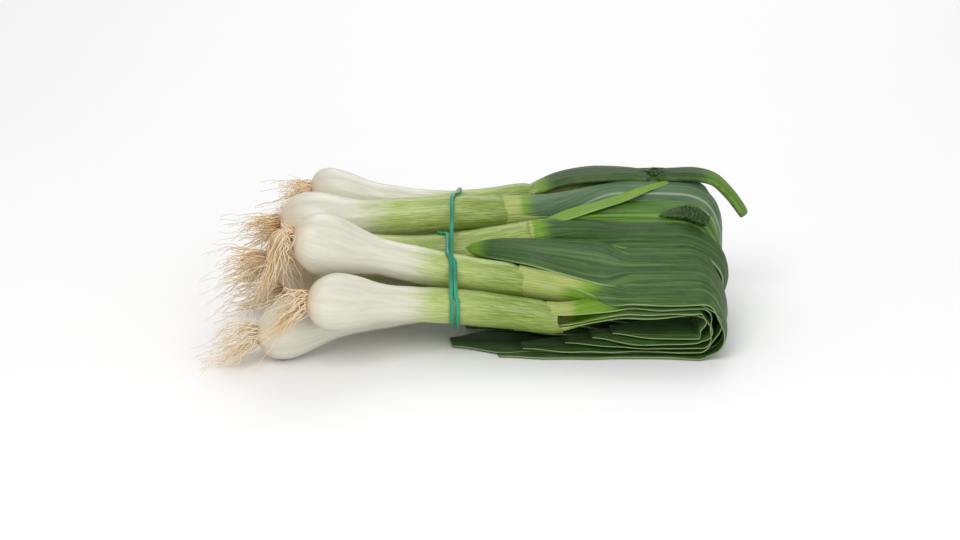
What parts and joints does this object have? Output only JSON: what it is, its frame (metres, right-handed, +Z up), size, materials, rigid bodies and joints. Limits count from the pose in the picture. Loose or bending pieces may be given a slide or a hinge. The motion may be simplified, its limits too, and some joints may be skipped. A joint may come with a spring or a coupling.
{
  "type": "spring onion bunch",
  "caption": "Bunch of spring onions with white bulbs and roots, held by a green elastic band, lying down with its long green leaves folded under.",
  "frame": {"origin": "under the middle of the bunch, on the surface it lies on", "axes": "+X along the bunch from the bulbs to the leaf fold, +Y to the back, +Z up"},
  "size_m": [0.278, 0.1444, 0.0733],
  "materials": {
    "shank": "smooth waxy skin, cream white at the bulb, turning pale green along the shank",
    "leaf": "dark green with fine long veins and a whitish bloom",
    "roots": "dry tan fibres",
    "band": "smooth teal-green rubber"
  },
  "bodies": {
    "root": {"elastic_band": "band", "onion_1_bulb": "shank", "onion_1_leaf_1": "leaf", "onion_1_leaf_2": "leaf", "onion_1_roots": "roots", "onion_2_bulb": "shank", "onion_2_leaf_1": "leaf", "onion_2_leaf_2": "leaf", "onion_2_leaf_3": "leaf", "onion_2_roots": "roots", "onion_3_bulb": "shank", "onion_3_leaf_1": "leaf", "onion_3_leaf_2": "leaf", "onion_3_leaf_3": "leaf", "onion_3_roots": "roots", "onion_4_bulb": "shank", "onion_4_leaf_1": "leaf", "onion_4_leaf_2": "leaf", "onion_4_leaf_3": "leaf", "onion_4_leaf_4": "leaf", "onion_4_roots": "roots", "onion_5_bulb": "shank", "onion_5_leaf_1": "leaf", "onion_5_leaf_2": "leaf", "onion_5_leaf_3": "leaf", "onion_5_leaf_4": "leaf", "onion_5_roots": "roots", "onion_6_bulb": "shank", "onion_6_leaf_1": "leaf", "onion_6_leaf_2": "leaf", "onion_6_leaf_3": "leaf", "onion_6_leaf_4": "leaf", "onion_6_roots": "roots", "onion_7_bulb": "shank", "onion_7_leaf_1": "leaf", "onion_7_leaf_2": "leaf", "onion_7_leaf_3": "leaf", "onion_7_leaf_4": "leaf", "onion_7_roots": "roots", "onion_8_bulb": "shank", "onion_8_leaf_1": "leaf", "onion_8_leaf_2": "leaf", "onion_8_leaf_3": "leaf", "onion_8_roots": "roots"}
  },
  "joints": []
}
